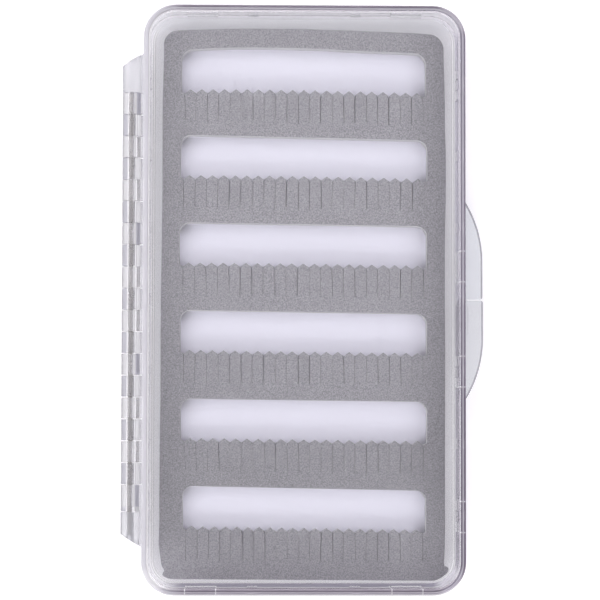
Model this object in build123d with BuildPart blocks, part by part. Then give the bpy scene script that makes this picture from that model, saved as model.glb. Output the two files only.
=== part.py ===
"""Slim clear fly box: two hinged shells, a steel hinge pin and a slit foam insert.

Frame: X across the box (hinge at -X, lift tabs at +X), Y along it, Z up.
Origin: centre of the body's footprint, on the flat underside of the base.
Sizes are in millimetres.
"""

import os

from build123d import *

# ---- Shells ------------------------------------------------------------
box_length = 190.0
box_width = 104.0
shell_height = 8.0  # each shell, from its flat face to the parting plane
wall = 1.6
panel = 1.5  # floor of the base and top of the lid
corner_radius = 10.6  # outer corner in plan
lid_edge_radius = 1.5  # round between the lid's face and its walls
base_edge_radius = 0.8  # round between the base's underside and its walls
parting_edge_radius = 0.2
inner_edge_radius = 0.9  # round inside, between panel and walls

# ---- Hinge -------------------------------------------------------------
hinge_offset = 4.0  # from the outer wall to the pin's axis
barrel_radius = 3.0
knuckle_pitch = 7.04
knuckle_gap = 0.25  # along the pin, between neighbours
closed_block_length = 13.2  # end block at +Y, where the pin's bore stops
open_block_length = 11.6  # end block at -Y, where the pin is pushed in
end_block_slope = 4.5  # along the box, of the slanted end
hinge_end_margin = 4.3  # straight wall beyond each end block
pin_radius = 0.8
base_bore_clearance = 0.02  # light fit: the base holds the pin
lid_bore_clearance = 0.06  # running fit: the lid turns on the pin
pin_end_gap = 0.1  # to the closed end block
pin_recess = 4.0  # the pin ends this far inside the open end block
pin_chamfer = 0.2

# ---- Lift tabs and snap catch -----------------------------------------
tab_reach = 6.1  # beyond the wall
tab_length = 33.0  # each tab, along the wall
tab_straight = 12.5  # straight part of the outer edge, from the split
tab_thickness = 1.6
tab_split = 0.3  # gap between the two tabs
tab_corner_radius = 0.8
tab_edge_radius = 0.6
catch_length = 8.9
catch_centre = -6.6  # along Y
hook_thickness = 0.9
hook_drop = 2.7  # below the parting plane
nib_height = 0.8
nib_clearance = 0.08  # nib to wall
nib_flat_low = 0.4  # the nib's flat, in shares of its height
nib_flat_high = 0.7
bead_depth = 0.32
bead_height = 0.7
bead_slope_share = 0.25  # of its height, above and below
catch_clearance = 0.1  # between hook and bead, in X and in Z

# ---- Rim locators ------------------------------------------------------
locator_clearance = 0.12
locator_thickness = 0.85
locator_root = 2.6  # length fused to the shell that carries it
tongue_length = 3.3
tongue_drop = 1.2
tongue_pitch = 23.3  # along the long walls
lug_length = 9.9
lug_rise = 3.4
lug_slot_clearance = 0.2  # either side of a tongue that drops into a lug
catch_lug_place = 10.5  # along Y, of the lug nearest the catch
corner_lug_margin = 3.35  # from a lug on a short wall to the corner's round

# ---- Insert ------------------------------------------------------------
insert_side_gap = 4.2  # to the long walls
insert_end_gap = 3.9  # to the short walls, before it is pushed along
insert_centre_y = -1.3  # pushed a little towards -Y
insert_corner_radius = 4.4
backing_thickness = 1.5
backing_inset = 0.6
film_thickness = 0.1
adhesive_inset = 3.0
foam_thickness = 4.4
row_pitch = 28.45
first_row_margin = 7.1  # foam above the first window
last_row_margin = 5.0  # at least this much foam below the last slits
window_side_margin = 6.6  # foam beside a window
window_height = 14.4  # down to the valleys of the sawtooth
window_corner_radius = 3.4
slit_pitch = 3.67
slit_end_margin = 1.0  # at least, from the last slit to the window's side
tooth_height = 1.35
slit_length = 9.1
slit_width = 0.25

# ---- Places worked out from the sizes ----------------------------------
wall_x = box_width / 2
hinge_x = -wall_x - hinge_offset
barrel_face_x = hinge_x - barrel_radius
straight_side = box_length / 2 - corner_radius  # half of a long wall's straight part
straight_end = box_width / 2 - corner_radius  # half of a short wall's straight part
fuse = 0.4  # overlap that joins one feature to the next

# lid and base knuckles in turn, so an odd number puts a lid knuckle at both ends,
# and the last one takes up what the pitch leaves over
hinge_top = straight_side - hinge_end_margin
knuckle_top = hinge_top - closed_block_length
knuckle_bottom = open_block_length - hinge_top
knuckle_run = knuckle_top - knuckle_bottom
knuckle_count = 2 * int((knuckle_run / knuckle_pitch - 1) // 2) + 1

tongues_each_way = int((straight_side - lug_length) // tongue_pitch)
tongue_steps = range(-tongues_each_way, tongues_each_way + 1)
side_tongue_places = [step * tongue_pitch for step in tongue_steps]
side_lug_places = (side_tongue_places[-1], catch_lug_place, -tongue_pitch, side_tongue_places[0])
end_lug_offset = straight_end - corner_lug_margin - lug_length / 2
end_tongue_offset = end_lug_offset / 2

adhesive_low = panel
backing_low = adhesive_low + film_thickness
laminate_low = backing_low + backing_thickness
foam_low = laminate_low + film_thickness
insert_width = box_width - 2 * (wall + insert_side_gap)
insert_length = box_length - 2 * (wall + insert_end_gap)
insert_top_y = insert_centre_y + insert_length / 2
window_width = insert_width - 2 * window_side_margin
slit_gaps = int((window_width - 2 * slit_end_margin) // slit_pitch)
slit_count = slit_gaps + 1
first_slit_x = -slit_pitch * slit_gaps / 2
row_room = insert_length - first_row_margin - window_height - slit_length - last_row_margin
row_count = int(row_room // row_pitch) + 1


def shell_block(low, flat_face, inner_low):
    """One shell: a rounded block, its edges eased, hollowed from the parting plane."""
    with BuildSketch(Plane.XY.offset(low)) as profile:
        RectangleRounded(box_width, box_length, corner_radius)
    block = extrude(profile.sketch, amount=shell_height)
    parting_edges = block.edges().filter_by_position(Axis.Z, shell_height, shell_height)
    face_edges = block.edges().filter_by_position(Axis.Z, flat_face, flat_face)
    fillet(face_edges, base_edge_radius if flat_face == 0 else lid_edge_radius)
    fillet(parting_edges, parting_edge_radius)
    with BuildSketch(Plane.XY.offset(inner_low)) as profile:
        RectangleRounded(box_width - 2 * wall, box_length - 2 * wall, corner_radius - wall)
    hollow = extrude(profile.sketch, amount=shell_height - panel, mode=Mode.PRIVATE)
    panel_level = panel if flat_face == 0 else flat_face - panel
    rounded = hollow.edges().filter_by_position(Axis.Z, panel_level, panel_level)
    add(hollow.fillet(inner_edge_radius, rounded), mode=Mode.SUBTRACT)


def knuckle(top_y, length, upward):
    """A barrel round the pin with a web back into the shell's wall."""
    web_width = hinge_offset + fuse
    with BuildSketch(Plane.XZ.offset(-top_y)) as profile:
        with Locations((hinge_x, shell_height)):
            Circle(barrel_radius)
        web_middle = shell_height + upward * barrel_radius / 2
        with Locations((hinge_x + web_width / 2, web_middle)):
            Rectangle(web_width, barrel_radius)
    extrude(profile.sketch, amount=length)


def knuckle_places(first):
    """The upper end and the length of every second knuckle, from the given one on."""
    tops = [knuckle_top - index * knuckle_pitch for index in range(knuckle_count)]
    lengths = [high - low for high, low in zip(tops, [*tops[1:], knuckle_bottom])]
    return list(zip(tops, lengths))[first::2]


def pin_bore(clearance):
    """The pin's bore, from the closed end block out through the open one."""
    with BuildSketch(Plane.XZ.offset(-knuckle_top)) as profile:
        with Locations((hinge_x, shell_height)):
            Circle(pin_radius + clearance)
    extrude(profile.sketch, amount=knuckle_run + open_block_length, mode=Mode.SUBTRACT)


def slanted_end(direction):
    """Cuts the outer corner off an end block, from the wall to the barrel's face."""
    end_y = direction * hinge_top
    clear = 1.0
    with BuildSketch(Plane.XY.offset(shell_height - barrel_radius - clear)) as profile:
        with BuildLine() as outline:
            Polyline(
                (-wall_x, end_y),
                (barrel_face_x, end_y - direction * end_block_slope),
                (barrel_face_x - clear, end_y - direction * end_block_slope),
                (barrel_face_x - clear, end_y + direction * clear),
                (-wall_x, end_y + direction * clear),
                close=True,
            )
        make_face(outline.line)
    extrude(profile.sketch, amount=2 * (barrel_radius + clear), mode=Mode.SUBTRACT)


def lift_tab(low, direction):
    """A finger tab: straight beside the split, then one arc back to the wall."""
    outer_x = wall_x + tab_reach
    split_y = direction * tab_split / 2
    straight_y = direction * tab_straight
    end_y = direction * tab_length
    with BuildSketch(Plane.XY.offset(low)) as profile:
        with BuildLine() as outline:
            Polyline(
                (wall_x, end_y),
                (wall_x - fuse, end_y),
                (wall_x - fuse, split_y),
                (outer_x, split_y),
                (outer_x, straight_y),
            )
            TangentArc((outer_x, straight_y), (wall_x, end_y), tangent=(0, direction))
        make_face(outline.line)
        corner = vertices().group_by(Axis.X)[-1].sort_by(lambda v: abs(v.Y))[0]
        fillet(corner, tab_corner_radius)
    tab = extrude(profile.sketch, amount=tab_thickness, mode=Mode.PRIVATE)
    level_edges = tab.edges().filter_by(Axis.Z, reverse=True)
    rim = level_edges.filter_by(lambda edge: edge.center().X > wall_x)
    add(tab.fillet(tab_edge_radius, rim))


def wall_block(side, along, length, outer_inset, inner_inset, low, high):
    """A block beside one wall; insets are measured from the shell's outer face."""
    middle = (outer_inset + inner_inset) / 2
    depth = inner_inset - outer_inset
    spots = {
        "left": ((-wall_x + middle, along), (depth, length)),
        "right": ((wall_x - middle, along), (depth, length)),
        "back": ((along, box_length / 2 - middle), (length, depth)),
        "front": ((along, -box_length / 2 + middle), (length, depth)),
    }
    place, size = spots[side]
    with BuildSketch(Plane.XY.offset(low)) as profile:
        with Locations(place):
            Rectangle(*size)
    extrude(profile.sketch, amount=high - low)


locator_outer = wall + locator_clearance
locator_inner = locator_outer + locator_thickness


def tongue(side, along):
    """A short key under the lid's rim that drops inside the base's wall."""
    root_top = shell_height + locator_root
    wall_block(side, along, tongue_length, wall - fuse, locator_inner, shell_height, root_top)
    low = shell_height - tongue_drop
    wall_block(side, along, tongue_length, locator_outer, locator_inner, low, shell_height)


def lug(side, along):
    """A locating lug on the base's rim; it parts in two where a tongue drops into it."""
    pieces = [(along, lug_length)]
    if side == "right" and along in side_tongue_places:
        slot = tongue_length + 2 * lug_slot_clearance
        half = (lug_length - slot) / 2
        pieces = [(along + sign * (slot + half) / 2, half) for sign in (1, -1)]
    for middle, length in pieces:
        root_low = shell_height - locator_root
        wall_block(side, middle, length, wall - fuse, locator_inner, root_low, shell_height)
        high = shell_height + lug_rise
        wall_block(side, middle, length, locator_outer, locator_inner, shell_height, high)


def catch_profile(points):
    """Extrudes an X-Z outline over the catch's length."""
    with BuildSketch(Plane.XZ.offset(-(catch_centre + catch_length / 2))) as profile:
        with BuildLine() as outline:
            Polyline(*points, close=True)
        make_face(outline.line)
    extrude(profile.sketch, amount=catch_length)


bead_top = shell_height - hook_drop + nib_height + catch_clearance + bead_height


def catch_bead():
    """The base's snap bead: a low ridge with sloping sides."""
    low = bead_top - bead_height
    slope = bead_height * bead_slope_share
    catch_profile([
        (wall_x - fuse, low),
        (wall_x, low),
        (wall_x + bead_depth, low + slope),
        (wall_x + bead_depth, bead_top - slope),
        (wall_x, bead_top),
        (wall_x - fuse, bead_top),
    ])


def catch_hook():
    """The lid's springy hook, outside the base's wall, with a nib that sits under the bead."""
    inner_x = wall_x + bead_depth + catch_clearance
    outer_x = inner_x + hook_thickness
    tip = shell_height - hook_drop
    catch_profile([
        (inner_x, shell_height + fuse),
        (inner_x, tip + nib_height),
        (wall_x + nib_clearance, tip + nib_height * nib_flat_high),
        (wall_x + nib_clearance, tip + nib_height * nib_flat_low),
        (inner_x, tip),
        (outer_x, tip),
        (outer_x, shell_height + fuse),
    ])


def window(top_y):
    """One window in the foam: round upper corners and a sawtooth lower edge."""
    side_x = window_width / 2
    valley_y = top_y - window_height
    tip_y = valley_y + tooth_height
    arc_y = top_y - window_corner_radius
    run_out = side_x - abs(first_slit_x)
    side_y = valley_y + tooth_height * run_out / (slit_pitch / 2)
    sawtooth = [(-side_x, arc_y), (-side_x, side_y)]
    for index in range(slit_count):
        x = first_slit_x + index * slit_pitch
        sawtooth.append((x, valley_y))
        if index < slit_count - 1:
            sawtooth.append((x + slit_pitch / 2, tip_y))
    sawtooth += [(side_x, side_y), (side_x, arc_y)]
    with BuildLine() as outline:
        Polyline(*sawtooth)
        CenterArc((side_x - window_corner_radius, arc_y), window_corner_radius, 0, 90)
        Line((side_x - window_corner_radius, top_y), (-side_x + window_corner_radius, top_y))
        CenterArc((-side_x + window_corner_radius, arc_y), window_corner_radius, 90, 90)
    make_face(outline.line, mode=Mode.SUBTRACT)


def row_tops():
    """The upper edge of each window, from the first row down."""
    return [insert_top_y - first_row_margin - row * row_pitch for row in range(row_count)]


def windowed_sheet(low, thickness):
    """The insert's outline with its windows, cut from one sheet."""
    with BuildSketch(Plane.XY.offset(low)) as profile:
        with Locations((0, insert_centre_y)):
            RectangleRounded(insert_width, insert_length, insert_corner_radius)
        for top_y in row_tops():
            window(top_y)
    extrude(profile.sketch, amount=thickness)


def slits():
    """Knife cuts through the foam, one down from each valley of the sawtooth."""
    with BuildSketch(Plane.XY.offset(foam_low)) as profile:
        for top_y in row_tops():
            middle_y = top_y - window_height - slit_length / 2 + slit_width
            with Locations((0, middle_y)):
                with GridLocations(slit_pitch, 1, slit_count, 1):
                    Rectangle(slit_width, slit_length + 2 * slit_width)
    extrude(profile.sketch, amount=foam_thickness, mode=Mode.SUBTRACT)


def plain_sheet(low, thickness, inset):
    """A sheet of the insert's outline, set in from its edge."""
    with BuildSketch(Plane.XY.offset(low)) as profile:
        with Locations((0, insert_centre_y)):
            RectangleRounded(
                insert_width - 2 * inset,
                insert_length - 2 * inset,
                insert_corner_radius - inset / 2,
            )
    extrude(profile.sketch, amount=thickness)


# ---- Base shell --------------------------------------------------------
with BuildPart() as base_shell:
    shell_block(low=0, flat_face=0, inner_low=panel)
    for top_y, length in knuckle_places(first=1):
        knuckle(top_y - knuckle_gap / 2, length - knuckle_gap, upward=-1)
    knuckle(hinge_top, closed_block_length - knuckle_gap / 2, upward=-1)
    knuckle(knuckle_bottom - knuckle_gap / 2, open_block_length - knuckle_gap / 2, upward=-1)
    slanted_end(direction=1)
    slanted_end(direction=-1)
    pin_bore(base_bore_clearance)
    lift_tab(low=shell_height - tab_thickness, direction=1)
    catch_bead()
    for place in side_lug_places:
        lug("right", place)
    for end in ("back", "front"):
        for sign in (1, -1):
            lug(end, sign * end_lug_offset)

# ---- Lid shell ---------------------------------------------------------
with BuildPart() as lid_shell:
    shell_block(low=shell_height, flat_face=2 * shell_height, inner_low=shell_height)
    for top_y, length in knuckle_places(first=0):
        knuckle(top_y - knuckle_gap / 2, length - knuckle_gap, upward=1)
    pin_bore(lid_bore_clearance)
    lift_tab(low=shell_height, direction=-1)
    catch_hook()
    for side in ("left", "right"):
        for place in side_tongue_places:
            tongue(side, place)
    for end in ("back", "front"):
        for sign in (1, -1):
            tongue(end, sign * end_tongue_offset)

# ---- Hinge pin ---------------------------------------------------------
with BuildPart() as hinge_pin:
    with BuildSketch(Plane.XZ.offset(-(knuckle_top - pin_end_gap))):
        with Locations((hinge_x, shell_height)):
            Circle(pin_radius)
    extrude(amount=knuckle_run + open_block_length - pin_end_gap - pin_recess)
    chamfer(hinge_pin.edges().filter_by(GeomType.CIRCLE), pin_chamfer)

# ---- Insert, from the floor of the base up -----------------------------
with BuildPart() as adhesive_film:
    plain_sheet(adhesive_low, film_thickness, adhesive_inset)

with BuildPart() as foam_backing:
    plain_sheet(backing_low, backing_thickness, backing_inset)

with BuildPart() as laminating_film:
    windowed_sheet(laminate_low, film_thickness)

with BuildPart() as foam_insert:
    windowed_sheet(foam_low, foam_thickness)
    slits()

# ---- Files -------------------------------------------------------------
os.makedirs("parts", exist_ok=True)
base_shell.part.label = "base_shell"
export_step(base_shell.part, "parts/base_shell.step")
lid_shell.part.label = "lid_shell"
export_step(lid_shell.part, "parts/lid_shell.step")
hinge_pin.part.label = "hinge_pin"
export_step(hinge_pin.part, "parts/hinge_pin.step")
adhesive_film.part.label = "adhesive_film"
export_step(adhesive_film.part, "parts/adhesive_film.step")
foam_backing.part.label = "foam_backing"
export_step(foam_backing.part, "parts/foam_backing.step")
laminating_film.part.label = "laminating_film"
export_step(laminating_film.part, "parts/laminating_film.step")
foam_insert.part.label = "foam_insert"
export_step(foam_insert.part, "parts/foam_insert.step")
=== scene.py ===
import math
import random

import bmesh
import bpy
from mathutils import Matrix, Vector


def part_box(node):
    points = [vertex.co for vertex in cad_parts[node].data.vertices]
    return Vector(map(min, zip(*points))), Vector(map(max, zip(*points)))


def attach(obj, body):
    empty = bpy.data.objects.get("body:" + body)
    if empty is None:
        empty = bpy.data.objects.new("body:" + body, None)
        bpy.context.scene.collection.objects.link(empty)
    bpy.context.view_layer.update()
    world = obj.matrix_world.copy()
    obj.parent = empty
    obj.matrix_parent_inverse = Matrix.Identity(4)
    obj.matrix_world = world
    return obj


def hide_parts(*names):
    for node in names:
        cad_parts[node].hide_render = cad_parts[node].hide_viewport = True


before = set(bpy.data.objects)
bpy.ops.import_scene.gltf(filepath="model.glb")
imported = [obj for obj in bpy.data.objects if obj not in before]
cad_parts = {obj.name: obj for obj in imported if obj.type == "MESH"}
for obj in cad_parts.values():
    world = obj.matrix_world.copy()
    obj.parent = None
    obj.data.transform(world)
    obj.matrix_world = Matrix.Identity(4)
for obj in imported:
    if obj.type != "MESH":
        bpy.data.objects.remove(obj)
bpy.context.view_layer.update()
MM = 0.001

# ---- Camera ------------------------------------------------------------
# The box lies flat and is looked at from above, from a little to the hinge
# side and a little to the near end, with a long lens and no shift.
camera_data = bpy.data.cameras.new("camera")
camera_data.lens = 140.18
camera_data.sensor_width = 36.0
camera_data.clip_start = 0.05
camera_data.clip_end = 20.0
camera = bpy.data.objects.new("camera", camera_data)
bpy.context.scene.collection.objects.link(camera)
camera.location = (-18.6 * MM, -35.7 * MM, 764.5 * MM)
camera.rotation_euler = (math.radians(2.69), math.radians(-1.32), math.radians(0.11))
bpy.context.scene.camera = camera


# ---- Base and lid shells -----------------------------------------------
# Two trays of crystal-clear polystyrene, each injection moulded in one shot
# with its hinge knuckles, rim locators and lift tab. The lid carries the hook
# of the snap catch, the base its bead. The lid's face is left plain.
def new_material(name):
    """An empty node material, with its node tree and its output node."""
    material = bpy.data.materials.new(name)
    material.use_nodes = True
    tree = material.node_tree
    tree.nodes.clear()
    output = tree.nodes.new("ShaderNodeOutputMaterial")
    return material, tree, output


def object_place(tree):
    """The x, y and z of a point in the piece's own coordinates, in metres."""
    place = tree.nodes.new("ShaderNodeTexCoord")
    parts = tree.nodes.new("ShaderNodeSeparateXYZ")
    tree.links.new(place.outputs["Object"], parts.inputs["Vector"])
    return parts.outputs


def object_noise(tree, scale, detail, roughness, stretch=(1.0, 1.0, 1.0)):
    """A noise in the piece's own coordinates. Scale is in waves per metre."""
    place = tree.nodes.new("ShaderNodeTexCoord")
    mapping = tree.nodes.new("ShaderNodeMapping")
    mapping.inputs["Scale"].default_value = stretch
    noise = tree.nodes.new("ShaderNodeTexNoise")
    noise.inputs["Scale"].default_value = scale
    noise.inputs["Detail"].default_value = detail
    noise.inputs["Roughness"].default_value = roughness
    tree.links.new(place.outputs["Object"], mapping.inputs["Vector"])
    tree.links.new(mapping.outputs["Vector"], noise.inputs["Vector"])
    return noise.outputs["Fac"]


def ramp(tree, value, stops):
    """A colour ramp over a value, from (position, colour) stops."""
    node = tree.nodes.new("ShaderNodeValToRGB")
    elements = node.color_ramp.elements
    while len(elements) < len(stops):
        elements.new(0.5)
    for element, (position, colour) in zip(elements, stops):
        element.position = position
        element.color = (*colour, 1.0)
    tree.links.new(value, node.inputs["Fac"])
    return node.outputs["Color"]


def bump(tree, height, strength, distance, under=None):
    """A bump from a height, over another bump's normal where one is given."""
    node = tree.nodes.new("ShaderNodeBump")
    node.inputs["Strength"].default_value = strength
    node.inputs["Distance"].default_value = distance
    tree.links.new(height, node.inputs["Height"])
    if under is not None:
        tree.links.new(under, node.inputs["Normal"])
    return node.outputs["Normal"]


def math_node(tree, operation, first, second=0.0):
    """A math node over two inputs, each a socket or a number."""
    node = tree.nodes.new("ShaderNodeMath")
    node.operation = operation
    for place, value in enumerate((first, second)):
        if isinstance(value, (int, float)):
            node.inputs[place].default_value = value
        else:
            tree.links.new(value, node.inputs[place])
    return node.outputs["Value"]


def product(tree, first, second):
    """Two shares multiplied: 1 only where both are."""
    return math_node(tree, "MULTIPLY", first, second)


def fade(tree, value, start, end):
    """0 up to start and 1 from end on, straight in between."""
    node = tree.nodes.new("ShaderNodeMapRange")
    node.inputs["From Min"].default_value = start
    node.inputs["From Max"].default_value = end
    tree.links.new(value, node.inputs["Value"])
    return node.outputs["Result"]


def blend_colours(tree, share, first, second):
    """The first colour where share is 0, the second where it is 1."""
    node = tree.nodes.new("ShaderNodeMix")
    node.data_type = "RGBA"
    for name, value in (("Factor", share), ("A", first), ("B", second)):
        if isinstance(value, tuple):
            node.inputs[name].default_value = (*value, 1.0)
        else:
            tree.links.new(value, node.inputs[name])
    return node.outputs["Result"]


def mix_shaders(tree, share, first, second):
    """The first shader where share is 0, the second where it is 1."""
    node = tree.nodes.new("ShaderNodeMixShader")
    if isinstance(share, float):
        node.inputs["Fac"].default_value = share
    else:
        tree.links.new(share, node.inputs["Fac"])
    tree.links.new(first, node.inputs[1])
    tree.links.new(second, node.inputs[2])
    return node.outputs["Shader"]


def grey(value):
    """A neutral colour of one brightness."""
    return (value, value, value)


def clear_gloss(tree):
    """Clear moulded plastic, with a faint unevenness in its gloss and its surface."""
    plastic = tree.nodes.new("ShaderNodeBsdfPrincipled")
    plastic.inputs["Transmission Weight"].default_value = 1.0
    plastic.inputs["IOR"].default_value = 1.58
    wear = object_noise(tree, 900.0, 4.0, 0.6)
    gloss = ramp(tree, wear, [(0.35, grey(0.0)), (0.75, grey(0.012))])
    tree.links.new(gloss, plastic.inputs["Roughness"])
    waves = object_noise(tree, 40.0, 1.0, 0.4)
    tree.links.new(bump(tree, waves, 0.02, 0.0002), plastic.inputs["Normal"])
    return plastic


def light_passes(tree, shader, shade, output):
    """Lets shadow rays straight through, tinted by shade."""
    see_through = tree.nodes.new("ShaderNodeBsdfTransparent")
    if isinstance(shade, tuple):
        see_through.inputs["Color"].default_value = (*shade, 1.0)
    else:
        tree.links.new(shade, see_through.inputs["Color"])
    path = tree.nodes.new("ShaderNodeLightPath")
    mixed = mix_shaders(tree, path.outputs["Is Shadow Ray"], shader, see_through.outputs["BSDF"])
    tree.links.new(mixed, output.inputs["Surface"])


def dress(node_name, material):
    """A CAD node keeps its shape and gets a finished material."""
    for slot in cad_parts[node_name].material_slots:
        slot.material = material


inner_corner_x = 41.4 * MM       # the middle of a plan corner of the wall's inner face
inner_corner_y = 84.4 * MM
inner_corner_radius = 9.0 * MM
depth_reach = 2.0                # millimetres either side of the inner face
shell_plastic, tree, output = new_material("clear_polystyrene")
plastic = clear_gloss(tree)

# How deep a point is in the wall, from its inner face outwards: 0 to 1 stands for -2 to 2 mm.
x, y, z = object_place(tree)
reach = []
for across, corner in ((x, inner_corner_x), (y, inner_corner_y)):
    past = math_node(tree, "SUBTRACT", math_node(tree, "ABSOLUTE", across), corner)
    past = math_node(tree, "MAXIMUM", past, 0.0)
    reach.append(product(tree, past, past))
distance = math_node(tree, "SQRT", math_node(tree, "ADD", *reach))
depth = math_node(tree, "SUBTRACT", distance, inner_corner_radius)
depth = fade(tree, depth, -depth_reach * MM, depth_reach * MM)


def in_depth(stops):
    """A ramp over the depth in the wall, from (millimetres, colour) stops."""
    return ramp(tree, depth, [
        ((deep + depth_reach) / (2 * depth_reach), colour) for deep, colour in stops])


hinge_side = fade(tree, x, -39.0 * MM, -48.0 * MM)
near_end = fade(tree, y, -88.0 * MM, -93.0 * MM)
far_end = fade(tree, y, 88.0 * MM, 93.0 * MM)
upper_rim = fade(tree, z, 14.30 * MM, 14.34 * MM)
floor_edge = fade(tree, z, 2.70 * MM, 2.60 * MM)
floor_panel = fade(tree, z, 1.95 * MM, 1.90 * MM)
past_split = fade(tree, y, 0.5 * MM, -0.5 * MM)


def by_side(right, near, far, hinge):
    """One colour or ramp for each side of the box, run together at its corners."""
    return blend_colours(tree, hinge_side, blend_colours(
        tree, near_end, blend_colours(tree, far_end, right, far), near), hinge)


# Tint of the plastic itself: clear in the panels, a little deeper in the walls and the base, and deepest
# in the tabs. The base's floor is a little darker at its far end. Painted light and shade: fine light and
# dark lines run round the base where its floor turns up into the wall, the light one a painted highlight
# on the fillet there, and a band of painted shade lies just inside the near half of the right wall.
panel_clear, wall_clear = (0.965, 0.965, 0.97), (0.92, 0.905, 0.945)
floor_tint_and_painted_lines = in_depth([
    (-2.00, (0.90, 0.90, 0.91)), (-1.92, grey(0.91)), (-1.86, grey(0.79)), (-1.60, grey(0.79)),
    (-1.54, grey(0.98)), (-1.28, grey(0.98)), (-1.22, grey(0.74)), (-0.96, grey(0.74)), (-0.90, grey(1.0)),
    (-0.56, grey(1.0)), (-0.50, (0.90, 0.89, 0.92))])
far_floor = fade(tree, y, 87.5 * MM, 89.5 * MM)
floor_tint_and_painted_lines = blend_colours(tree, far_floor, floor_tint_and_painted_lines, (0.87, 0.875, 0.89))
past_split_right = product(tree, past_split, fade(tree, x, 45.0 * MM, 46.0 * MM))
lid_tint_and_painted_band = blend_colours(
    tree, past_split_right, panel_clear, in_depth([(-0.50, panel_clear), (-0.42, grey(0.85))]))
panel_tint_and_painted_lines = blend_colours(tree, floor_panel, lid_tint_and_painted_band, floor_tint_and_painted_lines)
base_tab_tint = in_depth([(0.05, wall_clear), (1.60, wall_clear), (1.72, (0.825, 0.845, 0.86))])
lid_tab_tint = in_depth([(0.05, wall_clear), (1.60, wall_clear), (1.72, (0.785, 0.80, 0.81))])
wall_tint = blend_colours(tree, fade(tree, y, 0.1 * MM, -0.1 * MM), base_tab_tint, lid_tab_tint)
hinge_tint = in_depth([(1.60, (0.96, 0.955, 0.97)), (1.72, (0.87, 0.87, 0.885))])
in_wall = in_depth([(-0.12, grey(0.0)), (0.05, grey(1.0))])
shell_tint_and_painted_lines = blend_colours(tree, in_wall, panel_tint_and_painted_lines, blend_colours(tree, hinge_side, wall_tint, hinge_tint))
tree.links.new(shell_tint_and_painted_lines, plastic.inputs["Base Color"])

# Painted light and shade in the thick rim, in the walls' faces and along the foot of the walls, laid on as
# haze: dark purple and grey bands are painted reflections and refractions of the rounded edges, pale bands
# and lines their painted highlights, and each side of the box is painted its own way, lightest on the hinge
# side.
painted_dark_purple = (0.22, 0.185, 0.24)
past_tabs = fade(tree, y, -15.0 * MM, -33.0 * MM)
rim_amount = in_depth([(-0.10, grey(0.0)), (-0.02, grey(0.6))])
right_rim = blend_colours(tree, past_tabs, rim_amount, in_depth([
    (-0.10, grey(0.0)), (-0.02, grey(0.6)), (0.80, grey(0.6)), (0.92, grey(0.84))]))
near_rim = in_depth([(-0.68, grey(0.0)), (-0.60, grey(0.65)), (1.15, grey(0.6)), (1.60, grey(0.35))])
hinge_rim = in_depth([(-0.60, grey(0.0)), (-0.50, grey(0.65)), (0.0, grey(0.6))])
rim_amount = by_side(right_rim, near_rim, rim_amount, hinge_rim)
right_rim_painted_shading = in_depth([
    (0.36, (0.38, 0.36, 0.41)), (0.48, (0.80, 0.78, 0.83)), (0.86, (0.72, 0.70, 0.75)), (0.98, painted_dark_purple)])
right_rim_painted_shading = blend_colours(tree, past_tabs, right_rim_painted_shading, in_depth([
    (0.36, (0.33, 0.31, 0.36)), (0.46, (0.82, 0.80, 0.85)), (0.66, (0.74, 0.72, 0.77)),
    (0.78, (0.46, 0.44, 0.49)), (0.94, (0.19, 0.16, 0.21))]))
rim_painted_shading = by_side(
    right_rim_painted_shading,
    in_depth([(0.28, (0.26, 0.23, 0.28)), (0.38, (0.62, 0.60, 0.64)), (0.60, (0.62, 0.60, 0.64)),
              (0.70, (0.38, 0.35, 0.41)), (0.98, (0.38, 0.35, 0.41)), (1.15, grey(0.7)), (1.60, grey(0.9))]),
    in_depth([(0.50, (0.70, 0.69, 0.72)), (0.64, painted_dark_purple)]),
    in_depth([(-0.05, grey(0.72)), (0.0, grey(0.62)), (0.12, (0.88, 0.875, 0.91))]))

faces = in_depth([(-0.10, grey(0.0)), (-0.02, grey(1.0)), (0.10, grey(1.0)), (0.14, grey(0.2))])
wall_amount = by_side(grey(0.42), grey(0.6), grey(0.35), grey(0.25))
wall_amount = product(tree, wall_amount, faces)
outside = in_depth([(1.60, grey(0.0)), (1.72, grey(0.30))])
wall_amount = math_node(tree, "MAXIMUM", wall_amount, product(tree, outside, hinge_side))
near_wall_painted_shading = blend_colours(tree, fade(tree, z, 5.0 * MM, 6.5 * MM), grey(0.8), painted_dark_purple)
far_wall_painted_shading = ramp(tree, fade(tree, z, 2.6 * MM, 3.6 * MM), [(0.55, grey(0.30)), (0.70, grey(0.85))])
left_wall_painted_shading = in_depth([(1.60, (0.85, 0.85, 0.88)), (1.72, (0.68, 0.68, 0.71))])
right_wall = blend_colours(tree, past_split, (0.54, 0.52, 0.60), (0.32, 0.30, 0.37))
wall_painted_shading = by_side(right_wall, near_wall_painted_shading, far_wall_painted_shading, left_wall_painted_shading)

foot_amount = by_side(
    in_depth([(-0.92, grey(0.0)), (-0.86, grey(0.75)), (-0.62, grey(0.75)), (-0.56, grey(0.3))]),
    in_depth([(-1.46, grey(0.0)), (-1.38, grey(0.65))]),
    grey(0.0),
    in_depth([(-0.66, grey(0.0)), (-0.60, grey(0.1))]))
near_foot = in_depth([(-0.30, (0.33, 0.31, 0.39)), (-0.15, grey(0.75))])
right_foot = blend_colours(tree, past_split,
                           in_depth([(-0.62, grey(1.0)), (-0.54, (0.54, 0.52, 0.60))]),
                           in_depth([(-0.62, grey(1.0)), (-0.54, (0.25, 0.235, 0.29))]))
foot_painted_shading = by_side(right_foot, near_foot, grey(0.88), grey(0.93))

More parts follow.
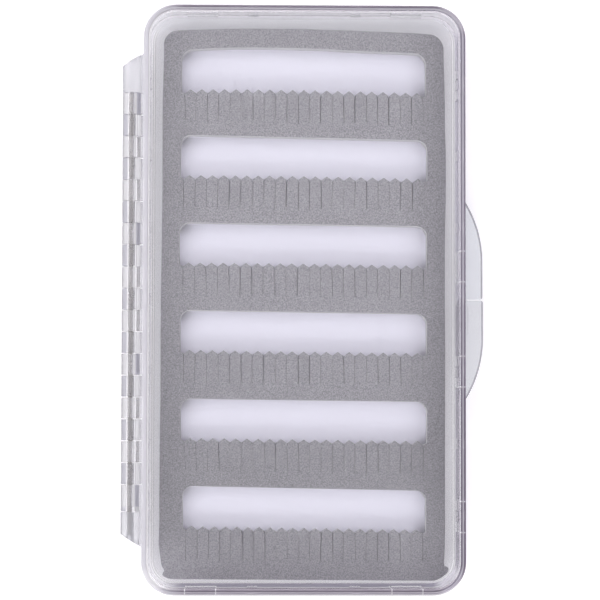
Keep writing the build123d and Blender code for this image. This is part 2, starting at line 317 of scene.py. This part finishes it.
# Painted light: the rounded corners are made paler than the straight sides, for the light they bend out of
# the wall.
rounded = product(tree, fade(tree, math_node(tree, "ABSOLUTE", x), 42.5 * MM, 45.5 * MM),
                  fade(tree, math_node(tree, "ABSOLUTE", y), 85.5 * MM, 88.5 * MM))
right_corner = product(tree, rounded, fade(tree, x, -1.0 * MM, 1.0 * MM))
left_corner = math_node(tree, "SUBTRACT", rounded, right_corner)
near_left_corner = product(tree, left_corner, fade(tree, y, 1.0 * MM, -1.0 * MM))
near_left_corner = product(tree, near_left_corner, fade(tree, y, -93.2 * MM, -92.0 * MM))
rim_light = ramp(tree, fade(tree, y, -1.0 * MM, 1.0 * MM), [(0.0, grey(0.10)), (1.0, grey(0.62))])
rim_painted_shading = blend_colours(tree, product(tree, right_corner, rim_light), rim_painted_shading, (0.86, 0.84, 0.88))
rim_painted_shading = blend_colours(tree, near_left_corner, rim_painted_shading, grey(1.0))
wall_painted_shading = blend_colours(tree, near_left_corner, wall_painted_shading, grey(1.0))
wall_painted_shading = blend_colours(tree, right_corner, wall_painted_shading, (0.90, 0.89, 0.92))
foot_painted_shading = blend_colours(tree, right_corner, foot_painted_shading, (0.92, 0.91, 0.94))

# Painted highlights: the ends of the lugs on the base's rim are drawn as fine light lines across the walls.
lug_half = 4.95 * MM
lug_lines = []
for along, middles in ((y, (10.5, -23.3, -69.9)), (x, (33.1, -33.1))):
    nearest = None
    for middle in middles:
        off = math_node(tree, "ABSOLUTE", math_node(tree, "SUBTRACT", along, middle * MM))
        off = math_node(tree, "ABSOLUTE", math_node(tree, "SUBTRACT", off, lug_half))
        nearest = off if nearest is None else math_node(tree, "MINIMUM", nearest, off)
    lug_lines.append(fade(tree, nearest, 0.19 * MM, 0.13 * MM))
on_side = product(tree, lug_lines[0], fade(tree, x, 49.85 * MM, 49.95 * MM))
on_end = product(tree, lug_lines[1], near_end)
painted_lug_line = product(tree, math_node(tree, "MAXIMUM", on_side, on_end), in_depth([
    (-0.60, grey(0.0)), (-0.50, grey(1.0)), (1.30, grey(1.0)), (1.40, grey(0.0))]))

# Painted shade: the tab's rounded edge is drawn as a fine grey line, with a paler band just inside it: it is
# straight near the split, then one arc.
arc_middle_x, straight_end, arc_radius = 20.6 * MM, 12.5 * MM, 37.5 * MM
past_x = math_node(tree, "SUBTRACT", x, arc_middle_x)
past_y = math_node(tree, "SUBTRACT", math_node(tree, "ABSOLUTE", y), straight_end)
past_y = math_node(tree, "MAXIMUM", past_y, 0.0)
reach = math_node(tree, "ADD", product(tree, past_x, past_x), product(tree, past_y, past_y))
from_edge = fade(tree, math_node(tree, "SQRT", reach), arc_radius - 1.0 * MM, arc_radius)
tab_line = ramp(tree, from_edge, [(0.42, grey(0.10)), (0.50, grey(0.7))])
tab_painted_shading = ramp(tree, from_edge, [(0.42, (0.75, 0.77, 0.80)), (0.50, (0.42, 0.42, 0.45))])
on_tab = fade(tree, x, 52.10 * MM, 52.14 * MM)

# The painted haze, as an amount and as its colour, from the foot of the wall up to the rim.
amount = blend_colours(tree, floor_edge, wall_amount, foot_amount)
amount = blend_colours(tree, upper_rim, amount, rim_amount)
painted_shading = blend_colours(tree, floor_edge, wall_painted_shading, foot_painted_shading)
painted_shading = blend_colours(tree, upper_rim, painted_shading, rim_painted_shading)
amount = blend_colours(tree, painted_lug_line, amount, grey(0.5))
painted_shading = blend_colours(tree, painted_lug_line, painted_shading, grey(0.95))
amount = blend_colours(tree, on_tab, amount, tab_line)
painted_shading = blend_colours(tree, on_tab, painted_shading, tab_painted_shading)

# Along the hinge, lid and base knuckles take turns, painted with bands of light and shade across the pin.
# One kind has a grey band of painted shade on the outer side of the pin, for the shade in its recess; the
# other has one on the inner side, but only on every third pair.
pin_x, hinge_reach = -56.0, 3.2                  # millimetres
first_knuckle, knuckle_pair = 66.9 * MM, 14.08 * MM
across_hinge = fade(tree, x, (pin_x - hinge_reach) * MM, (pin_x + hinge_reach) * MM)
turn = math_node(tree, "DIVIDE", math_node(tree, "SUBTRACT", first_knuckle, y), knuckle_pair)
second = fade(tree, math_node(tree, "FRACT", turn), 0.49, 0.51)
every_third_pair = fade(tree, math_node(tree, "FRACT", math_node(tree, "DIVIDE", turn, 3.0)), 0.34, 0.33)
in_run = product(tree, fade(tree, y, 67.0 * MM, 66.8 * MM), fade(tree, y, -68.7 * MM, -68.4 * MM))


def over_hinge(stops):
    """A ramp across the hinge, from (millimetres from the pin, colour) stops."""
    return ramp(tree, across_hinge, [
        ((off + hinge_reach) / (2 * hinge_reach), colour) for off, colour in stops])


knuckle_recess_shade = (0.46, 0.46, 0.51)
first_amount = over_hinge([
    (-1.14, grey(0.4)), (-1.06, grey(0.5)), (-0.86, grey(0.5)), (-0.78, grey(0.22)), (0.86, grey(0.22)),
    (0.94, grey(0.5)), (3.00, grey(0.6)), (3.08, grey(0.3))])
first_painted_shading = over_hinge([
    (-1.14, grey(0.66)), (-1.06, grey(0.9)), (0.86, grey(0.9)), (0.94, grey(0.68)), (1.64, grey(0.68)),
    (1.72, knuckle_recess_shade), (3.00, knuckle_recess_shade), (3.08, grey(0.85))])
second_amount = over_hinge([
    (-2.60, grey(0.3)), (-2.52, grey(0.65)), (-0.86, grey(0.6)), (-0.78, grey(0.15)), (1.30, grey(0.15)),
    (1.38, grey(0.5))])
second_painted_shading = over_hinge([
    (-2.60, grey(0.8)), (-2.52, knuckle_recess_shade), (-1.20, knuckle_recess_shade), (-1.12, grey(0.9)), (1.64, grey(0.9)),
    (1.72, grey(0.5)), (1.98, grey(0.5)), (2.06, grey(0.72))])
plain_amount = over_hinge([
    (-1.14, grey(0.4)), (-1.06, grey(0.5)), (-0.86, grey(0.5)), (-0.78, grey(0.22)), (0.86, grey(0.22)),
    (0.94, grey(0.5)), (1.30, grey(0.5)), (1.38, grey(0.18))])
plain_painted_shading = over_hinge([
    (-1.14, grey(0.66)), (-1.06, grey(0.9)), (0.86, grey(0.9)), (0.94, grey(0.68)), (1.64, grey(0.68)),
    (1.72, grey(0.85))])
first_amount = blend_colours(tree, every_third_pair, plain_amount, first_amount)
first_painted_shading = blend_colours(tree, every_third_pair, plain_painted_shading, first_painted_shading)
knuckle_amount = blend_colours(tree, second, first_amount, second_amount)
knuckle_painted_shading = blend_colours(tree, second, first_painted_shading, second_painted_shading)
hinge_amount = blend_colours(tree, in_run, grey(0.35), knuckle_amount)
hinge_painted_shading = blend_colours(tree, in_run, (0.66, 0.665, 0.685), knuckle_painted_shading)
on_hinge = fade(tree, x, -52.70 * MM, -52.85 * MM)
amount = blend_colours(tree, on_hinge, amount, hinge_amount)
painted_shading = blend_colours(tree, on_hinge, painted_shading, hinge_painted_shading)
# The painted light and shade goes on as a haze of translucent and diffuse colour over the clear plastic.
through = tree.nodes.new("ShaderNodeBsdfTranslucent")
back = tree.nodes.new("ShaderNodeBsdfDiffuse")
tree.links.new(painted_shading, through.inputs["Color"])
tree.links.new(painted_shading, back.inputs["Color"])
painted_haze = mix_shaders(tree, 0.7, through.outputs["BSDF"], back.outputs["BSDF"])
plastic_with_painted_haze = mix_shaders(tree, amount, plastic.outputs["BSDF"], painted_haze)
shade = in_depth([(-0.2, (0.80, 0.80, 0.81)), (0.0, (0.58, 0.57, 0.60))])
light_passes(tree, plastic_with_painted_haze, shade, output)
dress("base_shell", shell_plastic)
dress("lid_shell", shell_plastic)

# ---- Hinge pin ---------------------------------------------------------
# A drawn steel wire, cut to length and pushed through the knuckles from one
# end. It shows fine drawing lines along its length and slight dull spots. Light bands across its
# round are painted highlight, and its tone runs darker toward its near end.
def multiply_colours(tree, first, second):
    """One colour times another: darker under 1, lighter over it."""
    node = tree.nodes.new("ShaderNodeMix")
    node.data_type = "RGBA"
    node.blend_type = "MULTIPLY"
    node.inputs["Factor"].default_value = 1.0
    tree.links.new(first, node.inputs["A"])
    tree.links.new(second, node.inputs["B"])
    return node.outputs["Result"]


pin_steel, tree, output = new_material("drawn_steel")
steel = tree.nodes.new("ShaderNodeBsdfPrincipled")
steel.inputs["Metallic"].default_value = 1.0
drawn = object_noise(tree, 900.0, 3.0, 0.6, stretch=(6.0, 0.12, 6.0))
steel_tone_and_highlight = ramp(tree, drawn, [(0.3, (0.31, 0.305, 0.275)), (0.7, (0.48, 0.47, 0.435))])
pin_radius = 0.8
x, y, z = object_place(tree)
round_pin = fade(tree, x, (pin_x - pin_radius) * MM, (pin_x + pin_radius) * MM)
# Painted highlight: light bands across the pin's round stand for its reflections.
painted_highlight = ramp(tree, round_pin, [
    (0.10, grey(0.60)), (0.26, grey(0.80)), (0.44, grey(1.15)), (0.60, grey(1.15)), (0.70, grey(0.80)),
    (0.92, grey(1.15))])
# Darker toward the near end, lighter toward the far end.
end_to_end_tone = ramp(tree, fade(tree, y, -60.0 * MM, 60.0 * MM), [(0.0, grey(0.80)), (1.0, grey(1.12))])
painted_highlight = multiply_colours(tree, painted_highlight, end_to_end_tone)
steel_tone_and_highlight = multiply_colours(tree, steel_tone_and_highlight, painted_highlight)
tree.links.new(steel_tone_and_highlight, steel.inputs["Base Color"])
dull = ramp(tree, object_noise(tree, 300.0, 3.0, 0.5), [(0.3, grey(0.22)), (0.7, grey(0.42))])
tree.links.new(dull, steel.inputs["Roughness"])
tree.links.new(bump(tree, drawn, 0.25, 0.00004), steel.inputs["Normal"])
tree.links.new(steel.outputs["BSDF"], output.inputs["Surface"])
dress("hinge_pin", pin_steel)

# ---- Adhesive and laminating films -------------------------------------
# Two clear films, a tenth of a millimetre thick: one glues the insert to the
# floor of the base, the other bonds the grey foam to its white backing.
film_clear, tree, output = new_material("clear_film")
film = clear_gloss(tree)
film.inputs["Base Color"].default_value = (0.96, 0.96, 0.97, 1.0)
light_passes(tree, film.outputs["BSDF"], (0.80, 0.80, 0.81), output)


def piece_copy(node_name, name):
    """A merged copy of a CAD node's mesh as a new piece, ready for edit mode."""
    piece = bpy.data.objects.new(name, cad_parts[node_name].data.copy())
    bpy.context.scene.collection.objects.link(piece)
    bpy.ops.object.select_all(action="DESELECT")
    piece.select_set(True)
    bpy.context.view_layer.objects.active = piece
    bpy.ops.mesh.customdata_custom_splitnormals_clear()
    bpy.ops.object.mode_set(mode="EDIT")
    bpy.ops.mesh.select_all(action="SELECT")
    bpy.ops.mesh.remove_doubles(threshold=1e-6)
    bpy.ops.mesh.dissolve_limited(angle_limit=math.radians(0.5))
    bpy.ops.mesh.select_all(action="DESELECT")
    bpy.ops.object.mode_set(mode="OBJECT")
    return piece


def wear_material(piece, material):
    """Gives a new piece its one material."""
    piece.data.materials.clear()
    piece.data.materials.append(material)


def between(value, stops):
    """Reads an amount off a line through (place, amount) stops."""
    for (low, first), (high, second) in zip(stops, stops[1:]):
        if value <= high:
            return first + (second - first) * max(0.0, (value - low) / (high - low))
    return stops[-1][1]


slit_pitch, first_slit = 3.67, -38.535           # all in millimetres
row_pitch, window_height = 28.45, 14.4
first_window_top, first_valleys = 81.1, 66.7
foam_half, edge_line, rim_line = 46.0, 46.2, 39.9
far_right_pull, merge_gap = 0.3, 0.004

# How far the soft stack lies from its drawn place, in millimetres: four lines down its length for the
# shift across, and lines across it for the shift along of its rows, its first window and its far edge.
# Last come the shifts across of its near corners: the right one bulges, the left one has a small fold.
left_edge = ((-84.7, 0.46), (-78, -0.27), (-65, -0.34), (-49, -0.29), (-33, -0.12), (-16, -0.19),
             (0, -0.13), (20, 0.07), (33, 0.19), (59, 0.15), (68, 0.23), (78, 0.52))
left_rims = ((-68.4, 0.65), (-40, -0.2), (-11.5, -0.38), (17, -0.8), (45.4, -0.42), (73.9, -0.22))
right_rims = ((-68.4, -0.05), (-40, 0.35), (-11.5, 0.27), (17, 0.3), (45.4, 0.5), (73.9, -0.03))
right_edge = ((-84.7, -0.73), (-78, -0.34), (-65, -0.4), (-16, -0.26), (0, -0.36), (19.5, -0.36),
              (32.6, -0.03), (45.6, 0.06), (58.6, -0.32), (68.4, -0.31), (78, -0.69))
rows = ((-90, 0.3), (-75.5, 0.3), (-61.2, 0.1), (-47.1, 0.48), (-32.7, 0.08), (-18.7, 0.5), (-4.3, 0.19),
        (9.8, 0.6), (24.2, 0.21), (38.3, 0.62), (52.7, 0.07), (66.7, 0.2))
rows_slope = ((-90, 0.28), (-75.5, 0.65), (-61.2, 0.85), (-47.1, 0.53), (-32.7, 0.53), (-18.7, 0.55),
              (-4.3, 0.62), (9.8, 0.45), (24.2, 0.6), (38.3, 0.5), (52.7, 0.88), (66.7, 0.53))
rows_bow = ((-18.7, 0.0), (-4.3, 0.0), (9.8, 0.3), (24.2, 0.0), (38.3, 0.45), (52.7, 0.0), (66.7, 0.5))
first_window = ((-46, -0.4), (-39.9, 0.1), (-33.5, 0.51), (-25.3, 0.94), (-17.2, 1.03), (-9.1, 0.98),
                (-0.9, 0.82), (7.1, 0.63), (15.3, 0.11), (23.4, -0.18), (31.5, -0.38), (39.9, -0.9),
                (46, -1.5))
far_edge = ((-46, -1.0), (-38.4, -0.36), (-33.5, -0.14), (-27, 0), (-20.5, 0.17), (-1, 0.16),
            (5.5, -0.07), (12, -0.175), (18.5, -0.43), (25, -0.65), (31.5, -0.86), (38, -1.1),
            (41.3, -1.37), (46, -1.7))
right_bulge = ((-90.6, 0.3), (-88.5, 1.3), (-87.2, 1.6), (-86.4, 1.3), (-86.0, 0.2), (-85.0, 0.0))
left_fold = ((-90.6, -1.6), (-89.4, -1.2), (-88.9, -0.1), (-88.4, 0.5), (-87.4, 0.5), (-86.6, 0.1),
             (-85.6, -0.2), (-80.0, -0.4), (-72.0, 0.0))


def settle(piece):
    """Lets a soft sheet lie in the tray: a little turned and bowed, with its corners crumpled."""
    mesh = bmesh.new()
    mesh.from_mesh(piece.data)
    columns = [(first_slit + slit_pitch * (2 * index + 0.25)) * MM for index in range(11)]
    strips = [8.0 * index * MM for index in range(-10, 11)] + [-86.0 * MM, -85.0 * MM]
    for axis, cuts in ((Vector((1.0, 0.0, 0.0)), columns), (Vector((0.0, 1.0, 0.0)), strips)):
        for cut in cuts:
            bmesh.ops.bisect_plane(mesh, geom=mesh.verts[:] + mesh.edges[:] + mesh.faces[:],
                                   plane_co=axis * cut, plane_no=axis)
    bmesh.ops.remove_doubles(mesh, verts=mesh.verts[:], dist=merge_gap * MM)
    bmesh.ops.triangulate(mesh, faces=mesh.faces[:])
    for v in mesh.verts:
        x, y = v.co.x / MM, v.co.y / MM
        across = x / foam_half
        shift_x = between(x, ((-edge_line, between(y, left_edge)), (-rim_line, between(y, left_rims)),
                              (rim_line, between(y, right_rims)), (edge_line, between(y, right_edge))))
        shift_y = between(y, rows) - between(y, rows_slope) * across - between(y, rows_bow) * across ** 2
        window_shift = between(x, first_window)
        shift_y = between(y, ((first_valleys, shift_y), (78.5, window_shift),
                              (first_window_top, window_shift), (88.2, between(x, far_edge))))
        shift_x += between(y, right_bulge) * between(x, ((40.0, 0.0), (foam_half, 1.0)))
        shift_x += between(y, left_fold) * between(x, ((-foam_half, 1.0), (-40.0, 0.0)))
        pulled_in = far_right_pull * between(x, ((41.0, 0.0), (foam_half, 1.0)))
        pulled_in *= between(y, ((83.0, 0.0), (88.0, 1.0)))
        v.co.x += (shift_x - pulled_in) * MM
        v.co.y += (shift_y - pulled_in) * MM
    mesh.to_mesh(piece.data)
    mesh.free()


for node_name in ("adhesive_film", "laminating_film"):
    film_sheet = piece_copy(node_name, node_name + "_sheet")
    settle(film_sheet)
    wear_material(film_sheet, film_clear)
    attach(film_sheet, "base")
    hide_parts(node_name)


# ---- White backing -----------------------------------------------------
# A sheet of white closed-cell foam under the whole insert. It shows through
# the windows as their floor. It is die cut.
def foam_material(name, dark, light, cell_scale, cell_depth, mottle):
    """Closed-cell foam with fine cells and a faint mottle. The tone it hands back is still to be linked."""
    material, tree, output = new_material(name)
    foam = tree.nodes.new("ShaderNodeBsdfPrincipled")
    foam.inputs["Roughness"].default_value = 0.95
    foam.inputs["Specular IOR Level"].default_value = 0.2
    foam.inputs["Sheen Weight"].default_value = 0.15
    foam.inputs["Sheen Roughness"].default_value = 0.6
    cells = object_noise(tree, cell_scale, 2.0, 0.7)
    speckle = ramp(tree, cells, [(0.3, dark), (0.7, light)])
    broad = ramp(tree, object_noise(tree, 22.0, 3.0, 0.5), [(0.3, grey(1.0 - mottle)), (0.7, grey(1.0))])
    tone = multiply_colours(tree, speckle, broad)
    tree.links.new(bump(tree, cells, 0.6, cell_depth), foam.inputs["Normal"])
    tree.links.new(foam.outputs["BSDF"], output.inputs["Surface"])
    return material, tree, foam, tone


backing = piece_copy("foam_backing", "white_backing_sheet")
white_foam, tree, foam, tone = foam_material(
    "white_closed_cell_foam", (0.84, 0.835, 0.92), (0.88, 0.875, 0.95), 2600.0, 0.00003, 0.02)
x, y, z = object_place(tree)

# Painted shade in each window's corners: the far left one and the near right one most. Ten rows are added
# to the distance down from the first window, so that it is never below zero.
down = math_node(tree, "SUBTRACT", 81.6 * MM + 10 * row_pitch * MM, y)
down = math_node(tree, "MODULO", down, row_pitch * MM)
for corner_x, corner_down, stops in (
        (-40.0, 0.0, [(0.16, grey(0.53)), (0.27, grey(0.66)), (0.40, grey(0.82)), (0.52, grey(0.89)),
                      (0.65, grey(0.94)), (0.90, grey(1.0))]),
        (40.2, 15.4, [(0.15, grey(0.55)), (0.25, grey(0.70)), (0.35, grey(0.86)), (0.45, grey(0.95)),
                      (0.60, grey(1.0))])):
    off_x = math_node(tree, "SUBTRACT", x, corner_x * MM)
    off_y = math_node(tree, "SUBTRACT", down, corner_down * MM)
    off = math_node(tree, "ADD", product(tree, off_x, off_x), product(tree, off_y, off_y))
    off = math_node(tree, "SQRT", off)
    tone = multiply_colours(tree, tone, ramp(tree, fade(tree, off, 0.0, 10.0 * MM), stops))
# More painted shade along each window's far edge and toward its right side, lifted a little right at the
# right edge.
for where, stops in (
        (fade(tree, down, 0.0, 3.0 * MM), [(0.0, grey(0.93)), (1.0, grey(1.0))]),
        (fade(tree, x, 33.0 * MM, 40.0 * MM),
         [(0.0, grey(1.0)), (0.6, grey(0.97)), (0.8, grey(0.98)), (1.0, grey(1.03))])):
    tone = multiply_colours(tree, tone, ramp(tree, where, stops))
tree.links.new(tone, foam.inputs["Base Color"])
settle(backing)
wear_material(backing, white_foam)
bpy.ops.object.shade_smooth_by_angle(angle=math.radians(40))
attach(backing, "base")
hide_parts("foam_backing")

# ---- Grey foam insert --------------------------------------------------
# A sheet of soft grey EVA foam with six windows, die cut. Below each window
# its edge is a sawtooth, and a blade slit runs down from every valley. The
# slits close up again, so most show as a hairline and only a few gape.
foam_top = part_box("foam_insert")[1].z
row_tops = [(first_window_top - row_pitch * row) * MM for row in range(6)]
valley_drop = window_height * MM
slit_length = 9.1 * MM
slit_cut = 0.25 * MM
slit_places = [(first_slit + slit_pitch * index) * MM for index in range(22)]
rim_round = 0.32 * MM

insert = piece_copy("foam_insert", "grey_foam_insert")


def close_slits(piece):
    """Brings each slit's lips together, some more than others, and lets it lean."""
    draw = random.Random(7)
    verts = piece.data.vertices
    for row_top, firm in zip(row_tops, (1.3, 1.15, 1.0, 0.9, 0.8, 0.9)):
        valley = row_top - valley_drop
        for middle in slit_places:
            gape = draw.choice((0.05, 0.07, 0.09, 0.11, 0.14, 0.17, 0.20, 0.24)) * MM * firm
            if middle < -31.0 * MM:          # the slits next to the hinge side stay shut
                gape = min(gape, 0.12 * MM)
            lean = draw.uniform(-0.22, 0.22) * MM
            longer = draw.uniform(-0.45, 0.35) * MM
            for v in verts:
                if abs(v.co.x - middle) > slit_cut * 0.6:
                    continue
                side = 1.0 if v.co.x > middle else -1.0
                if abs(v.co.y - (valley - slit_length)) < 0.1 * MM:
                    v.co.x = middle + lean + side * (0.02 * MM + gape * 0.2)
                    v.co.y -= longer
                elif abs(v.co.y - valley) < 0.3 * MM:
                    v.co.x = middle + side * gape / 2


close_slits(insert)


def rim_edges(piece, level, kind):
    """Selects the upper rim's edges of one kind: the slits' lips, the teeth, or the smooth rims."""
    bpy.ops.object.mode_set(mode="EDIT")
    bpy.ops.mesh.select_mode(type="EDGE")
    mesh = bmesh.from_edit_mesh(piece.data)
    for edge in mesh.edges:
        level_edge = all(abs(v.co.z - level) < 0.01 * MM for v in edge.verts)
        upright = [abs(face.normal.z) < 0.5 for face in edge.link_faces]
        rim = level_edge and len(upright) == 2 and upright[0] != upright[1]
        inside = abs(edge.verts[0].co.x) < 39.5 * MM
        steep = abs(edge.verts[0].co.x - edge.verts[1].co.x) < 0.6 * MM
        lip = inside and steep and edge.calc_length() > 6.0 * MM
        along = (edge.verts[0].co.y + edge.verts[1].co.y) / 2
        by_teeth = any(-0.1 * MM < along - (top - valley_drop) < 1.45 * MM for top in row_tops)
        tooth = inside and by_teeth and not lip
        edge.select_set(bool(rim and kind == ("lip" if lip else "tooth" if tooth else "smooth")))
    bmesh.update_edit_mesh(piece.data)


for kind, rounding, segments in (("smooth", rim_round, 3), ("tooth", 0.10 * MM, 2), ("lip", 0.06 * MM, 1)):
    rim_edges(insert, foam_top, kind)
    bpy.ops.mesh.bevel(offset=rounding, segments=segments, clamp_overlap=True)
bpy.ops.object.mode_set(mode="OBJECT")
settle(insert)

# Painted shade: the sheet's grey is made a little deeper along its sides, where the walls shade it, and
# toward its near end, and lighter again in its two near corners. Its cut edges, the faces turned sideways,
# are paler.
grey_foam, tree, foam, tone = foam_material(
    "grey_eva_foam", (0.19, 0.187, 0.20), (0.455, 0.45, 0.47), 2400.0, 0.00006, 0.04)
x, y, z = object_place(tree)
left = product(tree, fade(tree, x, -32.0 * MM, -46.0 * MM), fade(tree, y, -100.0 * MM, -60.0 * MM))
right = fade(tree, x, 30.0 * MM, 45.0 * MM)
near = fade(tree, y, -5.0 * MM, -90.0 * MM)
near_left = product(tree, fade(tree, x, -24.0 * MM, -44.0 * MM), fade(tree, y, -75.0 * MM, -84.0 * MM))
near_right = product(tree, fade(tree, x, 24.0 * MM, 33.0 * MM), fade(tree, y, -58.0 * MM, -68.0 * MM))
for where, stops in (
        (left, [(0.0, grey(1.0)), (1.0, grey(0.82))]),
        (right, [(0.0, grey(1.0)), (1.0, grey(0.77))]),
        (near, [(0.0, grey(1.0)), (0.6, grey(0.86)), (1.0, grey(0.88))]),
        (near_left, [(0.0, grey(1.0)), (1.0, grey(1.24))]),
        (near_right, [(0.0, grey(1.0)), (1.0, grey(1.14))])):
    tone = multiply_colours(tree, tone, ramp(tree, where, stops))
facing = tree.nodes.new("ShaderNodeSeparateXYZ")
tree.links.new(tree.nodes.new("ShaderNodeTexCoord").outputs["Normal"], facing.inputs["Vector"])
cut = fade(tree, facing.outputs["Z"], 0.93, 0.55)
tone = blend_colours(tree, cut, tone, (0.47, 0.465, 0.475))
tree.links.new(tone, foam.inputs["Base Color"])
wear_material(insert, grey_foam)
bpy.ops.object.shade_smooth_by_angle(angle=math.radians(40))
flat_top = insert.modifiers.new("flat_top", "WEIGHTED_NORMAL")
flat_top.keep_sharp = True
bpy.ops.object.modifier_apply(modifier=flat_top.name)
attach(insert, "base")
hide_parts("foam_insert")

# ---- Floor and light ---------------------------------------------------
# A pale table under the box, four soft boxes round it and a dim room. None of
# them is part of the object.
floor_drop = 0.2 * MM            # keeps the table clear of the underside
bpy.ops.object.select_all(action="DESELECT")
bpy.ops.mesh.primitive_plane_add(size=3.0, location=(0, 0, 0))
floor = bpy.context.object
floor.name = "floor"
floor.data.transform(floor.matrix_world)
for vertex in floor.data.vertices:
    vertex.co.z = -floor_drop
floor.matrix_world.identity()
table_top, tree, output = new_material("pale_table")
paint = tree.nodes.new("ShaderNodeBsdfPrincipled")
paint.inputs["Base Color"].default_value = (0.93, 0.93, 0.93, 1.0)
paint.inputs["Roughness"].default_value = 0.9
paint.inputs["Specular IOR Level"].default_value = 0.1
paint.inputs["Emission Color"].default_value = (1.0, 1.0, 1.0, 1.0)
paint.inputs["Emission Strength"].default_value = 0.30
tree.links.new(paint.outputs["BSDF"], output.inputs["Surface"])
floor.data.materials.append(table_top)


def soft_box(name, place, size, watts):
    """A square area light that faces the box."""
    data = bpy.data.lights.new(name, "AREA")
    data.shape = "RECTANGLE"
    data.size, data.size_y = size
    data.energy = watts
    lamp = bpy.data.objects.new(name, data)
    bpy.context.scene.collection.objects.link(lamp)
    lamp.location = place
    lamp.rotation_euler = (-Vector(place)).to_track_quat("-Z", "Y").to_euler()


soft_box("light_left", (-0.8, 0.1, 0.5), (0.8, 0.9), 4.4)
soft_box("light_right", (0.8, 0.0, 0.75), (0.8, 0.9), 3.4)
soft_box("light_far", (-0.25, 0.55, 0.6), (0.5, 0.4), 2.0)
soft_box("light_near", (0.0, -1.1, 0.65), (1.2, 0.8), 10.6)

world = bpy.data.worlds.new("room")
bpy.context.scene.world = world
world.use_nodes = True
room = world.node_tree.nodes["Background"]
room.inputs["Color"].default_value = (0.42, 0.38, 0.45, 1.0)
room.inputs["Strength"].default_value = 0.8

scene = bpy.context.scene
scene.view_settings.view_transform = "Standard"
scene.cycles.max_bounces = 24
scene.cycles.transmission_bounces = 24
scene.cycles.transparent_max_bounces = 32
